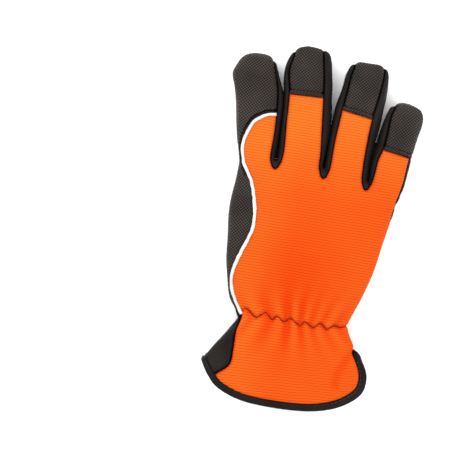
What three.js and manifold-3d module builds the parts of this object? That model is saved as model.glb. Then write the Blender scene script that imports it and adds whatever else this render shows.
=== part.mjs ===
// A lined winter glove for the right hand, lying palm down with its thumb folded under the palm.
// Millimetres: +Y to the fingertips, +X to the little finger, +Z up from the surface it lies on.
import * as THREE from "three";
import { mergeVertices } from "three/addons/utils/BufferGeometryUtils.js";
import Module from "manifold-3d";

const wasm = await Module();
wasm.setup();

// Driving dimensions
const WALL = 2.5; // knit or leather with its lining
const GAP = 0.35; // clearance between sewn pieces
const BINDING_SWELL = 0.6; // how far the folded hem binding stands proud of the cuff wall
const SECTION_POWER = 2.5; // 2 is an ellipse, more is boxier
const THUMB_CLEARANCE = 1.6; // between the folded thumb and the palm above it
const THUMB_FLAT = { top: 15, squash: 1.2 }; // height of the folded thumb, and how far it is pressed flat
const DRAPE = { diagonal: 12, radial: 11, ulnar: 15, tip: 11, wrist: 16, margin: 6 }; // palm round the thumb
const PLAN_CENTRE = { x: 4.69, y: 2.02 }; // middle of the outline, moved to the origin
const KNUCKLES = { station: 41.6, curve: 0.0028 }; // where the hand ends between the fingers, curving back
const WAIST = { station: -63.6, slant: 3.2 }; // line of the wrist elastic
const MOUTH_OVERRUN = 4; // how far the hollow runs out past the hem
const PIPING = { radius: 1.0, lift: 0.4, sides: 6, steps: 32 };

// Elastic gathers at the wrist
const RIDGES = { count: 7.73, start: 0.481, height: 1.7, reach: 17, lining: 0.7, under: 0.6 };

// Facets
const OUTER_STEPS = { hand: 26, finger: 7, thumb: 7 };
const INNER_STEPS = { hand: 10, finger: 4, thumb: 5 };
const HEM_STEPS = 24;
const HAND_STATIONS = [34, 24, 12, 0, -12, -24, -35, -45, -53, -59];
const CUFF_REACHES = [0, 0.14, 0.28, 0.45, 0.64, 0.82, 1];
const THINNEST = { width: 0.45, height: 0.3 }; // what is left of the hollow at a fingertip
const TALL = { low: -5, high: 60 }; // below and above everything
const BEYOND = { x: 90, y: 132 }; // past everything in plan

// Named columns for the rows of a table
const table = (columns, rows) =>
  rows.map((row) => Object.fromEntries(columns.split(" ").map((name, i) => [name, row[i]])));

// Heights along the glove: side seam, top of the back, underside where the thumb is not beneath it
const HEIGHTS = table("y seam top low", [
  [-124, 11.8, 24.0, -1.0],
  [-95, 11.8, 25.0, -0.6],
  [-75, 12.0, 24.5, 0.2],
  [-64, 12.2, 22.5, 1.0],
  [-50, 15.5, 26.5, 1.2],
  [-30, 19.2, 32.5, 2.0],
  [-5, 21.5, 37.5, 4.0],
  [20, 23.5, 39.0, 6.0],
  [42, 23.5, 36.5, 8.0],
  [60, 22.0, 34.0, 8.0],
  [80, 17.5, 28.5, 4.0],
  [100, 12.0, 22.0, 0.0],
  [115, 9.4, 18.0, 0.0],
  [130, 8.6, 16.0, 0.0],
]);

// Outline of the hand from the knuckles to the gathered wrist
const HAND = table("y left right", [
  [44, -48.6, 66.0],
  [31, -49.5, 63.5],
  [13, -50.3, 60.0],
  [-1, -50.1, 57.5],
  [-15, -49.0, 55.5],
  [-28, -47.2, 52.8],
  [-42, -44.0, 49.0],
  [-54, -40.4, 44.5],
  [-61, -35.6, 42.1],
  [-67, -32.8, 42.4],
]);

// Each finger by sections: rise above the side seam and drop below it
const FINGERS = {
  index: table("y left right rise drop", [
    [28, -47.5, -24.0, 10.0, 4.5],
    [42, -49.4, -24.6, 12.4, 9.0],
    [57, -53.4, -24.6, 11.6, 12.5],
    [75, -56.6, -24.9, 11.0, 13.5],
    [90, -59.8, -25.9, 10.4, 13.8],
    [100.5, -62.4, -30.2, 9.6, 12.4],
    [106.5, -60.3, -32.4, 8.6, 11.4],
    [112, -56.8, -35.0, 7.2, 10.4],
    [115.5, -52.5, -38.0, 5.0, 9.0],
    [117.3, -48.0, -41.5, 2.4, 6.0],
  ]),
  middle: table("y left right rise drop", [
    [28, -22.4, 8.0, 10.0, 4.0],
    [42, -23.8, 8.6, 12.4, 6.2],
    [57, -23.8, 9.0, 11.8, 5.0],
    [68, -24.0, 9.4, 11.4, 6.0],
    [80, -24.4, 9.5, 11.0, 11.0],
    [92, -25.2, 7.8, 10.6, 14.0],
    [103, -27.0, 6.6, 9.8, 13.0],
    [112, -26.8, 5.2, 8.8, 11.5],
    [119, -24.8, 3.4, 7.4, 10.5],
    [124, -21.4, 0.6, 5.4, 9.4],
    [127, -17.6, -2.4, 3.4, 7.6],
    [128.4, -13.5, -6.3, 1.8, 5.0],
  ]),
  ring: table("y left right rise drop", [
    [28, 10.8, 38.6, 10.0, 4.0],
    [42, 9.6, 39.8, 12.0, 6.2],
    [55, 9.8, 40.0, 11.4, 6.4],
    [66, 10.2, 41.6, 11.0, 10.0],
    [78, 10.5, 43.2, 10.6, 13.5],
    [90, 11.7, 43.8, 10.2, 14.0],
    [101, 14.0, 44.8, 9.4, 12.8],
    [111, 15.4, 44.5, 8.2, 11.4],
    [117, 17.6, 43.0, 6.4, 10.0],
    [120.5, 20.4, 40.0, 4.2, 8.4],
    [122.2, 24.5, 36.6, 2.0, 5.6],
  ]),
  little: table("y left right rise drop", [
    [22, 44.0, 60.0, 6.0, 6.0],
    [31, 42.5, 63.3, 9.4, 9.4],
    [40, 41.0, 65.5, 11.0, 12.0],
    [55, 40.9, 67.4, 10.6, 13.5],
    [66, 42.4, 68.9, 10.2, 14.5],
    [76, 44.1, 70.2, 9.8, 14.5],
    [84, 46.1, 71.6, 9.0, 13.6],
    [90, 48.0, 71.8, 7.6, 12.4],
    [94.5, 50.2, 69.8, 5.6, 10.6],
    [97, 53.4, 66.0, 3.4, 8.0],
    [98.2, 56.5, 62.0, 1.6, 5.0],
  ]),
};

// The thumb, folded flat under the palm
const THUMB = table("y left right top", [
  [-60, -11.0, 7.0, 10.4],
  [-52, -23.0, 11.5, 11.2],
  [-42, -32.0, 15.2, 12.0],
  [-30, -40.0, 17.8, 13.4],
  [-18, -42.0, 19.3, 14.6],
  [-6, -40.0, 20.3, 15.0],
  [8, -35.5, 21.4, 15.0],
  [21, -28.6, 22.7, 15.0],
  [33, -24.2, 23.4, 15.0],
  [43, -20.7, 21.0, 14.6],
  [50.5, -16.0, 16.4, 13.0],
  [55, -12.3, 12.0, 10.8],
  [58, -8.5, 7.5, 8.0],
  [59.5, -4.5, 3.0, 5.0],
]);

// Hem of the cuff, a scallop from the thumb side round to the notch on the little-finger side
const HEM = table("share x y binding", [
  [0.0, -53.4, -99.3, 3.2],
  [0.07, -47.0, -108.7, 3.6],
  [0.15, -39.5, -116.0, 4.2],
  [0.28, -23.2, -122.0, 4.8],
  [0.41, -3.0, -123.8, 5.1],
  [0.58, 22.9, -122.8, 5.2],
  [0.7, 40.4, -118.6, 5.4],
  [0.79, 52.6, -111.8, 5.5],
  [0.86, 59.7, -103.7, 5.5],
  [0.905, 60.8, -95.2, 5.3],
  [0.945, 57.8, -87.2, 4.6],
  [1.0, 50.0, -78.0, 3.0],
]);

// Seam lines in plan
const PIPING_LINE = table("x y", [
  [-29.1, 75.7],
  [-35.2, 74.2],
  [-42.7, 68.7],
  [-46.8, 59.6],
  [-48.2, 50.2],
  [-45.3, 38.9],
  [-39.7, 30.0],
  [-35.4, 18.2],
  [-32.6, 4.0],
  [-33.6, -8.0],
  [-38.6, -22.9],
  [-41.6, -36.5],
  [-39.9, -48.2],
  [-35.8, -56.0],
  [-31.1, -63.6],
]);
const CUFF_EDGE = table("x y", [
  [-30.8, -65.7],
  [-32.8, -75.0],
  [-32.8, -88.0],
  [-33.6, -99.0],
  [-41.1, -106.4],
  [-56.0, -118.0],
]);
const FOURCHETTES = {
  index_middle: table("x y", [
    [-37.0, 119.0], [-35.4, 112.0], [-30.5, 95.8], [-28.6, 80.7], [-27.8, 61.3], [-28.0, 49.0],
    [-27.2, 41.5], [-24.4, 38.0], [-21.8, 41.0], [-20.4, 47.0], [-20.3, 57.0], [-21.4, 73.5],
    [-22.2, 92.5], [-24.8, 108.0], [-22.6, 121.0], [-24.0, 127.0],
  ]),
  middle_ring: table("x y", [
    [-3.4, 129.0], [-2.3, 122.0], [0.5, 104.9], [1.9, 91.1], [3.9, 69.8], [5.6, 54.0], [6.4, 42.5],
    [9.6, 37.0], [12.4, 41.5], [13.3, 48.2], [13.5, 62.6], [14.6, 75.7], [15.9, 89.1],
    [18.4, 112.0], [20.0, 118.5], [18.6, 126.0],
  ]),
  ring_little: table("x y", [
    [40.0, 124.5], [41.4, 116.0], [39.6, 99.0], [37.6, 87.0], [36.4, 74.2], [35.7, 58.7], [36.4, 44.0],
    [39.6, 33.4], [42.6, 37.5], [44.0, 44.0], [44.9, 55.6], [47.2, 63.6], [48.4, 74.0],
    [49.6, 88.0], [51.6, 94.0], [50.0, 101.0],
  ]),
};
const KNIT_TOPS = table("left leftY right rightY", [
  [-24.2, 91.4, 5.0, 92.7],
  [12.0, 86.8, 40.0, 82.4],
  [44.0, 63.7, 74.0, 59.0],
]);
const THUMB_OVAL = table("x y", [
  [-5.1, 54.6], [4.3, 52.8], [12.7, 48.6], [17.6, 42.4], [19.6, 32.0], [18.1, 14.3], [16.7, -3.4],
  [15.2, -19.5], [12.4, -37.0], [9.2, -49.0], [4.9, -56.4], [0.7, -58.1], [-36.3, -12.3],
  [-35.2, -4.0], [-31.8, 3.0], [-24.8, 20.8], [-17.2, 42.6], [-12.2, 50.4],
]);
// The seam from the wrist to the thumb's outer side, from which the thumb leaves the palm
const THUMB_SPLIT = 5; // height to which the knit oval reaches round the thumb
const THUMB_SEAM = { x: -36, y: -12, normalX: 0.779, normalY: 0.627 };

const COLOURS = { knit: 0xff5a14, leather: 0x2a2624, piping: 0xe8e6e8, binding: 0x1d1c1e };

// Smooth value of every column at a station, through the rows of a table
function lookup(rows, key, station) {
  const last = rows.length - 1;
  const rising = rows[last][key] > rows[0][key] ? 1 : -1;
  let i = rows.findIndex((row) => (row[key] - station) * rising > 0) - 1;
  if (i === -2) i = last - 1;
  i = Math.max(i, 0);
  const [a, b] = [rows[i], rows[i + 1]];
  const [before, after] = [rows[Math.max(i - 1, 0)], rows[Math.min(i + 2, last)]];
  const span = b[key] - a[key];
  const t = THREE.MathUtils.clamp((station - a[key]) / span, 0, 1);
  const result = {};
  for (const name of Object.keys(a)) {
    const slopeA = ((b[name] - before[name]) / (b[key] - before[key])) * span;
    const slopeB = ((after[name] - a[name]) / (after[key] - a[key])) * span;
    const [t2, t3] = [t * t, t * t * t];
    const values = (2 * t3 - 3 * t2 + 1) * a[name] + (3 * t2 - 2 * t3) * b[name];
    result[name] = values + (t3 - 2 * t2 + t) * slopeA + (t3 - t2) * slopeB;
  }
  return result;
}

const ramp = (t) => THREE.MathUtils.smoothstep(t, 0, 1);
const mix = THREE.MathUtils.lerp;

// Height of the palm's underside: low where it is free, and raised over the thumb
function underside(x, y, low) {
  const thumb = lookup(THUMB, "y", THREE.MathUtils.clamp(y, THUMB[0].y, THUMB.at(-1).y));
  const tip = THUMB.at(-1).y;
  const past = (x - THUMB_SEAM.x) * THUMB_SEAM.normalX + (y - THUMB_SEAM.y) * THUMB_SEAM.normalY;
  const over =
    ramp(past / DRAPE.diagonal) *
    ramp((x - thumb.left + DRAPE.margin + DRAPE.radial) / DRAPE.radial) *
    ramp((thumb.right + DRAPE.margin + DRAPE.ulnar - x) / DRAPE.ulnar) *
    ramp((tip + 2 * DRAPE.tip - y) / DRAPE.tip) *
    ramp((y - THUMB[0].y) / DRAPE.wrist);
  const top = y > 0 ? Math.max(thumb.top, THUMB_FLAT.top) : thumb.top;
  return mix(low, top + THUMB_CLEARANCE, over);
}

// Fullness of a section across its width: 0 at the two side seams and 1 in the middle
const fullness = (share) => (1 - Math.abs(2 * share - 1) ** SECTION_POWER) ** (1 / SECTION_POWER);

// Shares of the width at which a section has its points, closer together at the side seams
const sharesOf = (steps) =>
  Array.from({ length: steps + 1 }, (_, i) => {
    const even = i / steps;
    return mix(even, (1 - Math.cos(Math.PI * even)) / 2, 0.5);
  });

// A closed ring of points: over the top from one side seam to the other and back underneath
function ringOf(steps, pointAt) {
  const shares = sharesOf(steps);
  const over = shares.map((share) => pointAt(share, 1));
  const back = shares.slice(1, -1).reverse().map((share) => pointAt(share, -1));
  return [...over, ...back];
}

// A closed solid through rings of points, its two ends shut by strips from the top to the underside
function loft(rings) {
  const count = rings[0].length;
  const half = count / 2;
  const positions = rings.flat().flatMap((p) => [p.x, p.y, p.z]);
  const index = [];
  for (let k = 0; k + 1 < rings.length; k++)
    for (let j = 0; j < count; j++) {
      const [a, b] = [k * count + j, k * count + ((j + 1) % count)];
      index.push(a, b, a + count, b, b + count, a + count);
    }
  for (const [base, flip] of [[0, true], [(rings.length - 1) * count, false]])
    for (let j = 0; j < half; j++) {
      const [a, b] = [base + j, base + j + 1];
      const [c, d] = [base + ((count - j) % count), base + (count - j - 1)];
      const faces = [[a, b, d], [a, d, c]].filter((f) => new Set(f).size === 3);
      for (const f of faces) index.push(...(flip ? f.reverse() : f));
    }
  const geometry = new THREE.BufferGeometry();
  geometry.setAttribute("position", new THREE.Float32BufferAttribute(positions, 3));
  geometry.setIndex(index);
  return solidOf(geometry);
}

// A three.js geometry as a solid that can be joined and cut
function solidOf(geometry) {
  const bare = geometry.index ? geometry.toNonIndexed() : geometry;
  bare.deleteAttribute("normal");
  bare.deleteAttribute("uv");
  const merged = mergeVertices(bare, 1e-4);
  return new wasm.Manifold(
    new wasm.Mesh({
      numProp: 3,
      vertProperties: new Float32Array(merged.attributes.position.array),
      triVerts: new Uint32Array(merged.index.array),
    }),
  );
}

function geometryOf(solid) {
  const mesh = solid.getMesh();
  const geometry = new THREE.BufferGeometry();
  geometry.setAttribute("position", new THREE.BufferAttribute(new Float32Array(mesh.vertProperties), 3));
  geometry.setIndex(new THREE.BufferAttribute(new Uint32Array(mesh.triVerts), 1));
  geometry.computeVertexNormals();
  return geometry;
}

// Raised folds that the wrist elastic gathers, fading towards hand and hem; the inner face stays smooth
function gather(share, distance, offset) {
  const envelope = RIDGES.height * Math.exp(-((distance / RIDGES.reach) ** 2)) * fullness(share) ** 2;
  if (offset < 0) return -RIDGES.lining * envelope;
  return envelope * Math.cos(2 * Math.PI * RIDGES.count * (share - RIDGES.start));
}

// A point of the hand, offset outwards from its outer face
function handPoint(station, slant, share, side, offset) {
  const y = station + slant * (2 * share - 1);
  const left = lookup(HAND, "y", station - slant).left;
  const right = lookup(HAND, "y", station + slant).right;
  const spread = 1 + (2 * offset) / (right - left);
  const x = mix(left, right, 0.5 + (share - 0.5) * spread);
  const height = lookup(HEIGHTS, "y", y);
  const full = fullness(share);
  const fold = gather(share, station - WAIST.station, offset);
  const rise = height.top - height.seam + offset;
  if (side > 0) return new THREE.Vector3(x, y, height.seam + rise * full + fold);
  const drop = height.seam - underside(x, y, height.low) + offset;
  const z = height.seam - drop * full - fold * RIDGES.under;
  return new THREE.Vector3(x, y, Math.max(z, BINDING_SWELL - offset));
}

// A point of the cuff, at a length below the waist, or measured back from the hem
function cuffPoint(share, side, offset, reach) {
  const waist = handPoint(WAIST.station, WAIST.slant, share, side, offset);
  const hem = lookup(HEM, "share", share);
  const length = Math.hypot(hem.x - waist.x, hem.y - waist.y);
  const t = reach(length, hem.binding);
  const x = mix(waist.x, hem.x + offset * (2 * share - 1) ** 5, t);
  const y = mix(waist.y, hem.y, t);
  const height = lookup(HEIGHTS, "y", y);
  const full = fullness(share);
  const fold = gather(share, t * length, offset);
  const rise = height.top - height.seam + offset;
  if (side > 0) return new THREE.Vector3(x, y, height.seam + rise * full + fold);
  const z = height.seam - (height.seam - height.low + offset) * full - fold * RIDGES.under;
  return new THREE.Vector3(x, y, Math.max(z, BINDING_SWELL - offset));
}

// Hand and cuff in one tube, from the knuckles to the bound hem
function handSolid(steps, offset) {
  const knuckles = KNUCKLES.station + Math.min(offset, 0);
  const used = (list) => (offset < 0 ? list.filter((_, i) => i % 2 === 0) : list);
  const rings = used([knuckles, ...HAND_STATIONS]).map((station) =>
    ringOf(steps, (share, side) => {
      const slant = WAIST.slant * ramp((-station - 20) / 40);
      const point = handPoint(station, slant, share, side, offset);
      if (station === knuckles) point.y -= KNUCKLES.curve * Math.max(point.x, 0) ** 2;
      return point;
    }),
  );
  const cuffRing = (swell, reach) =>
    rings.push(ringOf(steps, (share, side) => cuffPoint(share, side, offset + swell, reach)));
  for (const t of used(CUFF_REACHES)) cuffRing(0, (length, binding) => t * (1 - binding / length));
  if (offset < 0) cuffRing(0, (length) => 1 + MOUTH_OVERRUN / length);
  else {
    cuffRing(BINDING_SWELL, (length, binding) => 1 - (binding - BINDING_SWELL) / length);
    cuffRing(BINDING_SWELL, () => 1);
  }
  return loft(rings.reverse());
}

// A finger or the thumb as a tube with a shut tip
function tubeSolid(rows, steps, offset, heightsAt) {
  const tip = rows.at(-1).y;
  const root = rows[0].y;
  const used = offset < 0 ? rows.filter((row, i) => i % 2 === 0 || i === rows.length - 1) : rows;
  const rings = used.map((row) => {
    const station = offset < 0 ? root + ((row.y - root) * (tip + offset - root)) / (tip - root) : row.y;
    const height = heightsAt(row);
    const narrow = Math.min(-offset, THINNEST.width * (row.right - row.left));
    return ringOf(steps, (share, side) => {
      const x = mix(row.left + narrow, row.right - narrow, share);
      const full = fullness(share);
      const rise = Math.max(height.rise + offset, THINNEST.height);
      const drop = Math.max(height.drop + offset, THINNEST.height);
      const z = height.seam + (side > 0 ? rise : -drop) * full;
      return new THREE.Vector3(x, station, Math.max(z, -offset));
    });
  });
  return loft(rings);
}

const fingerHeights = (row) => ({ seam: lookup(HEIGHTS, "y", row.y).seam, rise: row.rise, drop: row.drop });
const thumbHeights = (row) => {
  const half = row.top / 2;
  return { seam: half, rise: half, drop: half + THUMB_FLAT.squash };
};

function gloveSolid(offset, steps) {
  let solid = handSolid(steps.hand, offset);
  for (const rows of Object.values(FINGERS)) {
    solid = solid.add(tubeSolid(rows, steps.finger, offset, fingerHeights));
  }
  return solid.add(tubeSolid(THUMB, steps.thumb, offset, thumbHeights));
}

// A plan outline moved outwards by a clearance
function grown(points, clearance) {
  const area = THREE.ShapeUtils.area(points);
  return points.map((p, i) => {
    const before = points[(i + points.length - 1) % points.length];
    const after = points[(i + 1) % points.length];
    const a = new THREE.Vector2(p.y - before.y, before.x - p.x).normalize();
    const b = new THREE.Vector2(after.y - p.y, p.x - after.x).normalize();
    const n = a.clone().add(b).normalize();
    const scale = (Math.sign(area) * clearance) / Math.max(n.dot(a), 0.4);
    return new THREE.Vector2(p.x + n.x * scale, p.y + n.y * scale);
  });
}

// The space over a plan outline
function prism(points, clearance, low = TALL.low, high = TALL.high) {
  const outline = grown(points.map((p) => new THREE.Vector2(p.x, p.y)), clearance);
  const shape = new THREE.Shape(outline);
  const geometry = new THREE.ExtrudeGeometry(shape, { depth: high - low, bevelEnabled: false });
  return solidOf(geometry.translate(0, 0, low));
}

// The space above the side seams, or below a height that changes along the glove
function layer(rows, heightAt, far) {
  const outline = rows.map((row) => new THREE.Vector2(row.y, heightAt(row)));
  outline.push(new THREE.Vector2(rows.at(-1).y, far), new THREE.Vector2(rows[0].y, far));
  const shape = new THREE.Shape(outline);
  const geometry = new THREE.ExtrudeGeometry(shape, { depth: 2 * BEYOND.x, bevelEnabled: false });
  const basis = new THREE.Matrix4().makeBasis(
    new THREE.Vector3(0, 1, 0),
    new THREE.Vector3(0, 0, 1),
    new THREE.Vector3(1, 0, 0),
  );
  return solidOf(geometry.applyMatrix4(basis).translate(-BEYOND.x, 0, 0));
}

const aboveSeams = (clearance) => layer(HEIGHTS, (row) => row.seam - clearance, TALL.high);

// Plan of the knit back: along the piping, over the finger backs and round outside the hem
const KNIT_OUTLINE = [
  { x: -24.2, y: 75.7 },
  ...PIPING_LINE,
  ...CUFF_EDGE,
  { x: CUFF_EDGE.at(-1).x, y: -BEYOND.y },
  { x: KNIT_TOPS.at(-1).right, y: -BEYOND.y },
  { x: KNIT_TOPS.at(-1).right, y: 40 },
  ...KNIT_TOPS.toReversed().flatMap((top) => [
    { x: top.right, y: top.rightY },
    { x: top.left, y: top.leftY },
  ]),
];

// Plan around the three tips that have caps: outlines run mid-gap, outside each finger
const CAP_SPANS = table("name left right y", [
  ["tip_cap_middle", -26.0, 9.6, 86],
  ["tip_cap_ring", 9.8, 44.6, 78],
  ["tip_cap_little", 43.5, 76, 57],
]);
const capOutline = (span) => [
  { x: span.left, y: span.y },
  { x: span.right, y: span.y },
  { x: span.right + 2, y: BEYOND.y },
  { x: span.left - 2, y: BEYOND.y },
];

// Room round the thumb: its ends, the heights there, the last row that shapes its roof, and its sides
const THUMB_ROOM = { low: -70, lowTop: 4, high: 75, roofEnd: 40, side: 2, beyondTip: 64, beyondRoot: -64 };

// The space around the thumb on its own side of the seam, under the palm
function thumbSpace(clearance) {
  const far = BEYOND.x;
  const along = { x: THUMB_SEAM.normalY, y: -THUMB_SEAM.normalX };
  const outline = [
    { x: THUMB_SEAM.x - along.x * far, y: THUMB_SEAM.y - along.y * far },
    { x: THUMB_SEAM.x + along.x * far, y: THUMB_SEAM.y + along.y * far },
    { x: THUMB_SEAM.x + along.x * far + far, y: THUMB_SEAM.y + along.y * far + far },
    { x: THUMB_SEAM.x - along.x * far + far, y: THUMB_SEAM.y - along.y * far + far },
  ];
  const half = THUMB_CLEARANCE / 2;
  const rows = [
    { y: THUMB_ROOM.low, top: THUMB_ROOM.lowTop },
    ...THUMB.filter((row) => row.y <= THUMB_ROOM.roofEnd),
    { y: THUMB_ROOM.high, top: THUMB_FLAT.top },
  ];
  const below = layer(rows, (row) => row.top + half + clearance, TALL.low);
  const sides = prism(
    [
      ...THUMB.map((row) => ({ x: row.right + THUMB_ROOM.side, y: row.y })),
      { x: 0, y: THUMB_ROOM.beyondTip },
      ...THUMB.toReversed().map((row) => ({ x: row.left - THUMB_ROOM.side, y: row.y })),
      { x: 0, y: THUMB_ROOM.beyondRoot },
    ],
    clearance,
  );
  return prism(outline, clearance).intersect(below).intersect(sides);
}

// A round cord along a line in plan, lying on the glove's outer face
function cordOnTop(line, radius, surface) {
  const caster = new THREE.Raycaster();
  const down = new THREE.Vector3(0, 0, -1);
  const heightAt = (x, y) => {
    caster.set(new THREE.Vector3(x, y, TALL.high), down);
    return caster.intersectObject(surface)[0].point.z + PIPING.lift;
  };
  const plan = new THREE.CatmullRomCurve3(line.map((p) => new THREE.Vector3(p.x, p.y, 0)));
  const spaced = plan.getSpacedPoints(PIPING.steps);
  const path = new THREE.CatmullRomCurve3(spaced.map((p) => new THREE.Vector3(p.x, p.y, heightAt(p.x, p.y))));
  const round = Array.from({ length: PIPING.sides }, (_, i) => {
    const angle = (2 * Math.PI * (i + 0.5)) / PIPING.sides;
    return new THREE.Vector2(radius * Math.cos(angle), radius * Math.sin(angle));
  });
  const sweep = { steps: PIPING.steps, extrudePath: path, bevelEnabled: false };
  return solidOf(new THREE.ExtrudeGeometry(new THREE.Shape(round), sweep));
}

// The plan on the hand's side of the hem binding's edge, which runs straight out at the two side seams
function insideHem(clearance) {
  const hemAt = (share) => lookup(HEM, "share", THREE.MathUtils.clamp(share, 0, 1));
  const edge = Array.from({ length: HEM_STEPS + 1 }, (_, i) => {
    const share = i / HEM_STEPS;
    const hem = hemAt(share);
    const before = hemAt(share - 0.01);
    const after = hemAt(share + 0.01);
    const along = new THREE.Vector2(after.x - before.x, after.y - before.y).normalize();
    return { x: hem.x - along.y * hem.binding, y: hem.y + along.x * hem.binding };
  });
  const last = HEM.at(-1);
  const outside = [
    { x: edge.at(-1).x, y: last.y + last.binding },
    { x: BEYOND.x, y: last.y + last.binding },
    { x: BEYOND.x, y: BEYOND.y },
    { x: -BEYOND.x, y: BEYOND.y },
    { x: -BEYOND.x, y: edge[0].y },
  ];
  return prism([...edge, ...outside], -clearance);
}

const outer = gloveSolid(0, OUTER_STEPS);
const inner = gloveSolid(-WALL, INNER_STEPS);
const surface = new THREE.Mesh(geometryOf(outer));
const pieces = {};
let rest = outer.subtract(inner);
pieces.cuff_binding = rest.subtract(insideHem(0));
rest = rest.intersect(insideHem(GAP));

// Takes one piece off the shell, and leaves a clearance round it
function take(name, space) {
  pieces[name] = rest.intersect(space(0));
  rest = rest.subtract(space(GAP));
}

take("thumb_back", (c) => prism(THUMB_OVAL, c, TALL.low, THUMB_SPLIT + c));
take("thumb_front", thumbSpace);
for (const [name, outline] of Object.entries(FOURCHETTES)) {
  take("fourchette_" + name, (c) => prism(outline, c));
}
take("back_panel", (c) => prism(KNIT_OUTLINE, c).intersect(aboveSeams(c)));
for (const span of CAP_SPANS) take(span.name, (c) => prism(capOutline(span), c).intersect(aboveSeams(c)));
pieces.palm_panel = rest;
const groove = cordOnTop(PIPING_LINE, PIPING.radius + GAP, surface);
for (const name of ["back_panel", "palm_panel"]) pieces[name] = pieces[name].subtract(groove);
pieces.reflective_piping = cordOnTop(PIPING_LINE, PIPING.radius, surface);

const FINISHES = {
  knit: { color: COLOURS.knit, roughness: 0.9 },
  leather: { color: COLOURS.leather, roughness: 0.5 },
  piping: { color: COLOURS.piping, roughness: 0.35 },
  binding: { color: COLOURS.binding, roughness: 0.6 },
};
const finishOf = (name) => {
  if (name === "back_panel" || name === "thumb_back") return FINISHES.knit;
  if (name === "reflective_piping") return FINISHES.piping;
  return name === "cuff_binding" ? FINISHES.binding : FINISHES.leather;
};

const glove = new THREE.Group();
const centred = new THREE.Group();
centred.position.set(-PLAN_CENTRE.x, -PLAN_CENTRE.y, 0);
glove.add(centred);
for (const [name, solid] of Object.entries(pieces)) {
  const mesh = new THREE.Mesh(geometryOf(solid), new THREE.MeshStandardMaterial(finishOf(name)));
  mesh.name = name;
  centred.add(mesh);
}

export default glove;
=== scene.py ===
"""The looks of a lined winter glove: knit, leather, piping and binding, sewn over one soft form."""
import functools
import math

import bmesh
import bpy
import numpy as np
from bpy.props import FloatProperty, FloatVectorProperty, PointerProperty
from mathutils import Matrix, Vector, noise
from mathutils.bvhtree import BVHTree
from mathutils.kdtree import KDTree


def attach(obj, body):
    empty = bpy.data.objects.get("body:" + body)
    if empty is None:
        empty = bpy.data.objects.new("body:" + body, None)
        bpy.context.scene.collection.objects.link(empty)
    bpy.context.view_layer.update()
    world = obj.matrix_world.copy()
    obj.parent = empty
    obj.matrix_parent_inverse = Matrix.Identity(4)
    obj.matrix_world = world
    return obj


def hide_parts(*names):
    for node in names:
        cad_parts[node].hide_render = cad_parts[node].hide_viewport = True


bl_info = {
    "name": "Winter Glove",
    "version": (1, 0, 0),
    "blender": (4, 5, 0),
    "location": "View3D > Sidebar > Glove",
    "description": "Builds a lined winter glove lying on its palm",
    "category": "Add Mesh",
}

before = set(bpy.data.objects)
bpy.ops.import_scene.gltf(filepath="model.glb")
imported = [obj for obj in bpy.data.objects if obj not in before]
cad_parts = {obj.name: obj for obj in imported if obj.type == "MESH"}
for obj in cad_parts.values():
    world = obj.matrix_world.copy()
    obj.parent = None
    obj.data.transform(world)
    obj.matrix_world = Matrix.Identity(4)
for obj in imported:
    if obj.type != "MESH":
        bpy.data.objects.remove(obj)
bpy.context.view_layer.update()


def table(columns, *rows):
    """Named columns of a table of sizes in millimetres."""
    return dict(zip(columns.split(), np.array(rows, dtype=float).T))


# Shape of the glove in millimetres: +Y to the fingertips, +X to the little finger, +Z up
PLAN_CENTRE = (4.69, 2.02)
SECTION_POWER = 2.5
THUMB_CLEARANCE = 1.6
DRAPE = {"diagonal": 12, "radial": 11, "ulnar": 15, "tip": 11, "wrist": 16, "margin": 6, "level": 15}
WAIST = {"station": -63.6, "slant": 3.2}
RIDGES = {"count": 7.73, "start": 0.481, "reach": 17, "fan": 0.006, "swing": 0.3, "uneven": 0.3, "under": 0.6}
# Middle, half width, half length and depth of a broad painted shade, a deeper orange over the middle of the
# back
MIDDLE_SHADE = {"x": 2, "y": -40, "wide": 28, "long": 38, "deep": 0.5}
# Soft dents and wrinkles: how high they are, and how far one is from the next
DENTS = {"slow": 0.75, "slow_size": 26, "wrinkle": 0.4, "wrinkle_size": 9, "wrinkle_length": 17}
FLOOR_CLEARANCE = 0.6
SEAM_ALLOWANCE = 1.3
HEM_OVERLAP = 1.4
# How far the hand's rounded front reaches, and how much it falls back to the little finger
KNUCKLES = {"y": 41.6, "reach": 2.6, "bend": 0.0028}
# Points round a section
AROUND = {"hand": 260, "finger": 72, "thumb": 96}
# Levels of the cutters' ends, below and above the glove
CUT_LOW = -5
CUT_HIGH = 60
EMBOSS_ENLARGED = 1.5
THUMB_SEAM = {"x": -36, "y": -12, "normal_x": 0.779, "normal_y": 0.627}
THUMB_SPLIT = 5

HEIGHTS = table(
    "y seam top low",
    (-130, 11.8, 23.8, -1.0), (-124, 11.8, 24.0, -1.0), (-95, 11.8, 25.0, -0.6), (-75, 12.0, 24.5, 0.2),
    (-64, 12.2, 22.5, 1.0), (-50, 15.5, 26.5, 1.2), (-30, 19.2, 32.5, 2.0), (-5, 21.5, 37.5, 4.0),
    (20, 23.5, 39.0, 6.0), (42, 23.5, 36.5, 8.0), (60, 22.0, 34.0, 8.0), (80, 17.5, 28.5, 4.0),
    (100, 12.0, 22.0, 0.0), (115, 9.4, 18.0, 0.0), (130, 8.6, 16.0, 0.0),
)
HAND = table(
    "y left right",
    (44, -48.6, 64.6), (31, -49.5, 63.2), (13, -50.3, 60.0), (-1, -50.1, 57.5), (-15, -49.0, 55.5),
    (-28, -47.2, 52.8), (-42, -44.0, 49.0), (-54, -40.4, 44.5), (-61, -35.6, 42.1), (-67, -32.8, 42.4),
)
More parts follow.
